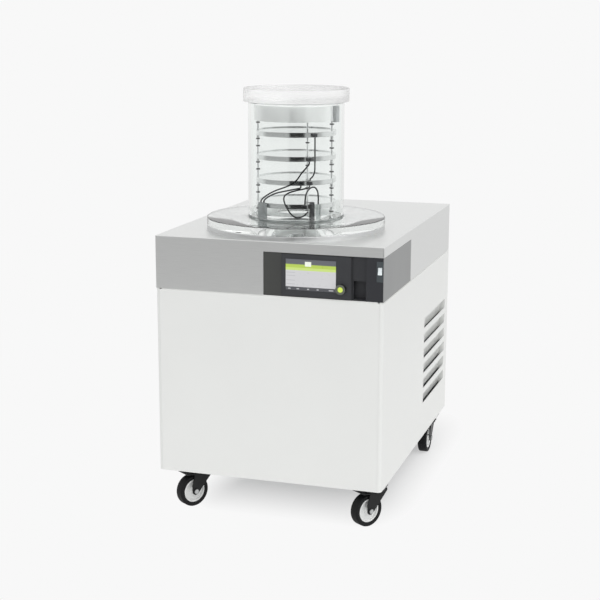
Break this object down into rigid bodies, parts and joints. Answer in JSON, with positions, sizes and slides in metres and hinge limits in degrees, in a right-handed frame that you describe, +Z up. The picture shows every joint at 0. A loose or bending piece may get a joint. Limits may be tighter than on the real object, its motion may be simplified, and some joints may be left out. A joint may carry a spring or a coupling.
{
  "type": "freeze dryer",
  "caption": "Floor-standing laboratory freeze dryer: louvred cabinet on braked castors, worktop with control fascia, clear drying chamber with heated shelves.",
  "frame": {"origin": "on the floor under the middle of the bounding box, which is the middle of the cabinet", "axes": "+Z up, front with the control fascia towards -Y, +X to the viewer's right"},
  "size_m": [0.72, 0.993, 1.311],
  "materials": {
    "white_paint": "smooth semi-gloss powder coat",
    "stainless": "fine brushed",
    "grey_paint": "matt powder coat",
    "fascia_plastic": "fine grained",
    "black_plastic": "smooth matt",
    "screen": "glossy display glass",
    "lime_plastic": "glossy, lit from behind",
    "switch_white": "glossy",
    "clear_acrylic": "clear, polished",
    "silicone": "translucent, smooth",
    "shelf_steel": "satin",
    "grey_plastic": "satin",
    "cable_black": "smooth",
    "zinc": "bright zinc plate",
    "castor_black": "satin",
    "tyre_rubber": "matt",
    "hub_plastic": "satin",
    "compressor_paint": "gloss black",
    "fin_aluminium": "bare"
  },
  "bodies": {
    "cabinet": {"base_tray": "zinc", "front_panel": "white_paint", "left_side_panel": "white_paint", "right_side_panel": "white_paint", "rear_panel": "white_paint", "worktop_hood": "stainless", "seat_ring": "stainless", "rack_frame": "stainless", "condenser_vessel": "stainless", "vacuum_port": "stainless", "corner_trim": "grey_paint", "control_fascia": "fascia_plastic", "display_bezel": "black_plastic", "switch_frame": "black_plastic", "bus_plug": "black_plastic", "mains_inlet": "black_plastic", "display_glass": "screen", "chamber_base_plate": "clear_acrylic", "chamber_tube": "clear_acrylic", "chamber_lid": "clear_acrylic", "base_seal": "silicone", "tube_seal": "silicone", "connector_right": "silicone", "shelf_1": "shelf_steel", "shelf_2": "shelf_steel", "shelf_3": "shelf_steel", "shelf_4": "shelf_steel", "rack_cover": "shelf_steel", "connector_left": "grey_plastic", "cable_shelf_1": "cable_black", "cable_shelf_2": "cable_black", "cable_shelf_3": "cable_black", "cable_sensor": "cable_black", "cable_bus": "cable_black", "compressor": "compressor_paint", "radiator": "fin_aluminium", "front_left_castor_plate": "zinc", "front_right_castor_plate": "zinc", "rear_left_castor_plate": "zinc", "rear_right_castor_plate": "zinc"},
    "front_left_fork": {"front_left_castor_fork": "castor_black"},
    "front_left_wheel": {"front_left_tyre": "tyre_rubber", "front_left_wheel_hub": "hub_plastic"},
    "front_left_pedal": {"front_left_brake_pedal": "castor_black"},
    "front_right_fork": {"front_right_castor_fork": "castor_black"},
    "front_right_wheel": {"front_right_tyre": "tyre_rubber", "front_right_wheel_hub": "hub_plastic"},
    "front_right_pedal": {"front_right_brake_pedal": "castor_black"},
    "rear_left_fork": {"rear_left_castor_fork": "castor_black"},
    "rear_left_wheel": {"rear_left_tyre": "tyre_rubber", "rear_left_wheel_hub": "hub_plastic"},
    "rear_left_pedal": {"rear_left_brake_pedal": "castor_black"},
    "rear_right_fork": {"rear_right_castor_fork": "castor_black"},
    "rear_right_wheel": {"rear_right_tyre": "tyre_rubber", "rear_right_wheel_hub": "hub_plastic"},
    "rear_right_pedal": {"rear_right_brake_pedal": "castor_black"},
    "knob": {"control_knob": "black_plastic"},
    "knob_button": {"knob_button": "lime_plastic"},
    "rocker": {"rocker_switch": "switch_white"},
    "fan": {"fan_rotor": "black_plastic"}
  },
  "joints": [
    {"name": "front_left_swivel", "type": "hinge", "parent": "cabinet", "child": "front_left_fork", "pos_m": [-0.25, -0.4105, 0.11], "axis": [0, 0, 1], "continuous": true},
    {"name": "front_left_wheel_spin", "type": "hinge", "parent": "front_left_fork", "child": "front_left_wheel", "pos_m": [-0.26835, -0.43671, 0.051], "axis": [0.8192, -0.5736, 0], "continuous": true},
    {"name": "front_left_brake", "type": "hinge", "parent": "front_left_fork", "child": "front_left_pedal", "pos_m": [-0.23912, -0.39496, 0.101], "axis": [-0.8192, 0.5736, 0], "range_deg": [0, 15]},
    {"name": "front_right_swivel", "type": "hinge", "parent": "cabinet", "child": "front_right_fork", "pos_m": [0.322, -0.4105, 0.11], "axis": [0, 0, 1], "continuous": true},
    {"name": "front_right_wheel_spin", "type": "hinge", "parent": "front_right_fork", "child": "front_right_wheel", "pos_m": [0.30365, -0.43671, 0.051], "axis": [0.8192, -0.5736, 0], "continuous": true},
    {"name": "front_right_brake", "type": "hinge", "parent": "front_right_fork", "child": "front_right_pedal", "pos_m": [0.33288, -0.39496, 0.101], "axis": [-0.8192, 0.5736, 0], "range_deg": [0, 15]},
    {"name": "rear_left_swivel", "type": "hinge", "parent": "cabinet", "child": "rear_left_fork", "pos_m": [-0.25, 0.3545, 0.11], "axis": [0, 0, 1], "continuous": true},
    {"name": "rear_left_wheel_spin", "type": "hinge", "parent": "rear_left_fork", "child": "rear_left_wheel", "pos_m": [-0.25, 0.3225, 0.051], "axis": [1, 0, 0], "continuous": true},
    {"name": "rear_left_brake", "type": "hinge", "parent": "rear_left_fork", "child": "rear_left_pedal", "pos_m": [-0.25, 0.37347, 0.101], "axis": [-1, 0, 0], "range_deg": [0, 15]},
    {"name": "rear_right_swivel", "type": "hinge", "parent": "cabinet", "child": "rear_right_fork", "pos_m": [0.322, 0.3545, 0.11], "axis": [0, 0, 1], "continuous": true},
    {"name": "rear_right_wheel_spin", "type": "hinge", "parent": "rear_right_fork", "child": "rear_right_wheel", "pos_m": [0.322, 0.3225, 0.051], "axis": [1, 0, 0], "continuous": true},
    {"name": "rear_right_brake", "type": "hinge", "parent": "rear_right_fork", "child": "rear_right_pedal", "pos_m": [0.322, 0.37347, 0.101], "axis": [-1, 0, 0], "range_deg": [0, 15]},
    {"name": "knob_turn", "type": "hinge", "parent": "cabinet", "child": "knob", "pos_m": [0.2315, -0.49, 0.743], "axis": [0, 1, 0], "continuous": true},
    {"name": "knob_press", "type": "slide", "parent": "knob", "child": "knob_button", "axis": [0, 1, 0], "range_m": [0, 0.0012], "stiffness_N_per_m": 500},
    {"name": "mains_rocker", "type": "hinge", "parent": "cabinet", "child": "rocker", "pos_m": [0.34725, -0.481, 0.802], "axis": [1, 0, 0], "range_deg": [0, 20]},
    {"name": "fan_spin", "type": "hinge", "parent": "cabinet", "child": "fan", "pos_m": [0.259, 0.2645, 0.3015], "axis": [1, 0, 0], "continuous": true}
  ]
}
